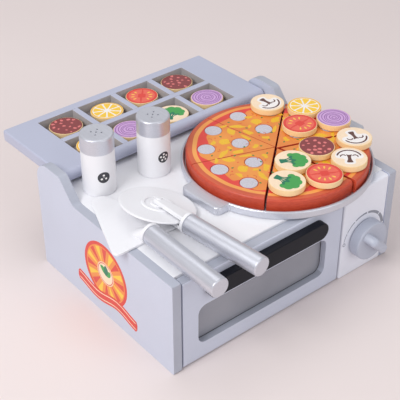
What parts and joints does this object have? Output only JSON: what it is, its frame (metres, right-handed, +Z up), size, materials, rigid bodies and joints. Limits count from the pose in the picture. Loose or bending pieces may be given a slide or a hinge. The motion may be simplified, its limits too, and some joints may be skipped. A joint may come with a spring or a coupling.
{
  "type": "toy oven",
  "caption": "Wooden toy oven with a drop-down window door, a turning knob, a hinged lid with topping compartments, and a sliced pizza with tools.",
  "frame": {"origin": "centre of the body's footprint, on the surface that the oven stands on", "axes": "+X to the right along the door side, +Y to the back, where the lid lies folded out, +Z up"},
  "size_m": [0.3191, 0.3307, 0.1659],
  "materials": {
    "body_paint": "satin blue-grey paint",
    "white_paint": "satin white paint",
    "silver_paint": "metallic silver paint",
    "beech": "bare",
    "steel": "plated",
    "clear_pane": "clear",
    "grey_plastic": "matte",
    "black_paint": "satin black paint",
    "knob_paint": "satin grey paint",
    "divider_paint": "matte",
    "lid_floor_paint": "matte",
    "pizza_print": "printed and lacquered",
    "mushroom_print": "printed and lacquered",
    "tomato_print": "printed and lacquered",
    "lemon_print": "printed and lacquered",
    "onion_print": "printed and lacquered",
    "salami_print": "printed and lacquered",
    "broccoli_print": "printed and lacquered"
  },
  "bodies": {
    "root": {"left_side_panel": "body_paint", "right_side_panel": "body_paint", "base_board": "body_paint", "top_board": "white_paint", "back_panel": "body_paint", "divider_panel": "body_paint", "control_panel": "white_paint", "assembly_dowels": "beech", "door_hinge_pins": "steel", "lid_pivot_dowels": "beech", "catch_magnets": "steel"},
    "door": {"door_frame": "body_paint", "door_window": "clear_pane", "window_retainer": "grey_plastic", "door_handle": "black_paint", "handle_screws": "steel", "strike_plates": "steel"},
    "dial_knob": {"knob": "knob_paint", "knob_shaft": "beech", "knob_washer": "steel", "knob_screw": "steel"},
    "lid": {"lid_frame": "body_paint", "lid_dividers": "divider_paint", "lid_floor": "lid_floor_paint"},
    "pan": {"pizza_pan": "silver_paint"},
    "salt_shaker": {"salt_body": "white_paint", "salt_cap": "silver_paint"},
    "pepper_shaker": {"pepper_body": "white_paint", "pepper_cap": "silver_paint"},
    "server": {"server_blade": "white_paint", "server_handle": "silver_paint"},
    "cutter": {"cutter_fork": "white_paint", "cutter_axle": "white_paint", "cutter_handle": "silver_paint"},
    "cutting_wheel": {"cutter_wheel": "white_paint"},
    "slice_a": {"slice_a": "pizza_print"},
    "slice_b": {"slice_b": "pizza_print"},
    "slice_c": {"slice_c": "pizza_print"},
    "slice_d": {"slice_d": "pizza_print"},
    "slice_e": {"slice_e": "pizza_print"},
    "slice_f": {"slice_f": "pizza_print"},
    "mushroom_1": {"mushroom_1": "mushroom_print"},
    "tomato_1": {"tomato_1": "tomato_print"},
    "lemon": {"lemon": "lemon_print"},
    "onion": {"onion": "onion_print"},
    "mushroom_2": {"mushroom_2": "mushroom_print"},
    "salami": {"salami": "salami_print"},
    "mushroom_3": {"mushroom_3": "mushroom_print"},
    "broccoli_1": {"broccoli_1": "broccoli_print"},
    "broccoli_2": {"broccoli_2": "broccoli_print"},
    "tomato_2": {"tomato_2": "tomato_print"},
    "stored_salami_1": {"stored_salami_1": "salami_print"},
    "stored_lemon_1": {"stored_lemon_1": "lemon_print"},
    "stored_tomato": {"stored_tomato": "tomato_print"},
    "stored_salami_2": {"stored_salami_2": "salami_print"},
    "stored_lemon_2": {"stored_lemon_2": "lemon_print"},
    "stored_onion_1": {"stored_onion_1": "onion_print"},
    "stored_broccoli": {"stored_broccoli": "broccoli_print"},
    "stored_onion_2": {"stored_onion_2": "onion_print"}
  },
  "joints": [
    {"name": "door_hinge", "type": "hinge", "parent": "root", "child": "door", "pos_m": [-0.03115, -0.1013, 0.0055], "axis": [1, 0, 0], "range_deg": [0, 83]},
    {"name": "knob_turn", "type": "hinge", "parent": "root", "child": "dial_knob", "pos_m": [0.1011, -0.1063, 0.0414], "axis": [0, 1, 0], "continuous": true},
    {"name": "lid_hinge", "type": "hinge", "parent": "root", "child": "lid", "pos_m": [0, 0.0827, 0.1118], "axis": [1, 0, 0], "range_deg": [0, 90]},
    {"name": "pan_lift", "type": "slide", "parent": "root", "child": "pan", "axis": [0, 0, 1], "range_m": [0, 0.12]},
    {"name": "slice_a_lift", "type": "slide", "parent": "pan", "child": "slice_a", "axis": [0, 0, 1], "range_m": [0, 0.08]},
    {"name": "slice_b_lift", "type": "slide", "parent": "pan", "child": "slice_b", "axis": [0, 0, 1], "range_m": [0, 0.08]},
    {"name": "slice_c_lift", "type": "slide", "parent": "pan", "child": "slice_c", "axis": [0, 0, 1], "range_m": [0, 0.08]},
    {"name": "slice_d_lift", "type": "slide", "parent": "pan", "child": "slice_d", "axis": [0, 0, 1], "range_m": [0, 0.08]},
    {"name": "slice_e_lift", "type": "slide", "parent": "pan", "child": "slice_e", "axis": [0, 0, 1], "range_m": [0, 0.08]},
    {"name": "slice_f_lift", "type": "slide", "parent": "pan", "child": "slice_f", "axis": [0, 0, 1], "range_m": [0, 0.08]},
    {"name": "mushroom_1_lift", "type": "slide", "parent": "slice_a", "child": "mushroom_1", "axis": [0, 0, 1], "range_m": [0, 0.05]},
    {"name": "tomato_1_lift", "type": "slide", "parent": "slice_f", "child": "tomato_1", "axis": [0, 0, 1], "range_m": [0, 0.05]},
    {"name": "lemon_lift", "type": "slide", "parent": "slice_f", "child": "lemon", "axis": [0, 0, 1], "range_m": [0, 0.05]},
    {"name": "onion_lift", "type": "slide", "parent": "slice_f", "child": "onion", "axis": [0, 0, 1], "range_m": [0, 0.05]},
    {"name": "mushroom_2_lift", "type": "slide", "parent": "slice_e", "child": "mushroom_2", "axis": [0, 0, 1], "range_m": [0, 0.05]},
    {"name": "salami_lift", "type": "slide", "parent": "slice_e", "child": "salami", "axis": [0, 0, 1], "range_m": [0, 0.05]},
    {"name": "mushroom_3_lift", "type": "slide", "parent": "slice_e", "child": "mushroom_3", "axis": [0, 0, 1], "range_m": [0, 0.05]},
    {"name": "broccoli_1_lift", "type": "slide", "parent": "slice_d", "child": "broccoli_1", "axis": [0, 0, 1], "range_m": [0, 0.05]},
    {"name": "broccoli_2_lift", "type": "slide", "parent": "slice_d", "child": "broccoli_2", "axis": [0, 0, 1], "range_m": [0, 0.05]},
    {"name": "tomato_2_lift", "type": "slide", "parent": "slice_d", "child": "tomato_2", "axis": [0, 0, 1], "range_m": [0, 0.05]},
    {"name": "stored_salami_1_lift", "type": "slide", "parent": "lid", "child": "stored_salami_1", "axis": [0, 0.03, 0.9995], "range_m": [0, 0.05]},
    {"name": "stored_lemon_1_lift", "type": "slide", "parent": "lid", "child": "stored_lemon_1", "axis": [0, 0.03, 0.9995], "range_m": [0, 0.05]},
    {"name": "stored_tomato_lift", "type": "slide", "parent": "lid", "child": "stored_tomato", "axis": [0, 0.03, 0.9995], "range_m": [0, 0.05]},
    {"name": "stored_salami_2_lift", "type": "slide", "parent": "lid", "child": "stored_salami_2", "axis": [0, 0.03, 0.9995], "range_m": [0, 0.05]},
    {"name": "stored_lemon_2_lift", "type": "slide", "parent": "lid", "child": "stored_lemon_2", "axis": [0, 0.03, 0.9995], "range_m": [0, 0.05]},
    {"name": "stored_onion_1_lift", "type": "slide", "parent": "lid", "child": "stored_onion_1", "axis": [0, 0.03, 0.9995], "range_m": [0, 0.05]},
    {"name": "stored_broccoli_lift", "type": "slide", "parent": "lid", "child": "stored_broccoli", "axis": [0, 0.03, 0.9995], "range_m": [0, 0.05]},
    {"name": "stored_onion_2_lift", "type": "slide", "parent": "lid", "child": "stored_onion_2", "axis": [0, 0.03, 0.9995], "range_m": [0, 0.05]},
    {"name": "salt_lift", "type": "slide", "parent": "root", "child": "salt_shaker", "axis": [0, 0, 1], "range_m": [0, 0.1]},
    {"name": "pepper_lift", "type": "slide", "parent": "root", "child": "pepper_shaker", "axis": [0, 0, 1], "range_m": [0, 0.1]},
    {"name": "server_slide", "type": "slide", "parent": "root", "child": "server", "axis": [-0.9848, 0, 0.1736], "range_m": [0, 0.12]},
    {"name": "cutter_lift", "type": "slide", "parent": "root", "child": "cutter", "axis": [0, 0, 1], "range_m": [0, 0.1]},
    {"name": "wheel_turn", "type": "hinge", "parent": "cutter", "child": "cutting_wheel", "pos_m": [-0.08558, -0.01563, 0.11427], "axis": [0.25, 0.0185, 0.9681], "continuous": true}
  ]
}
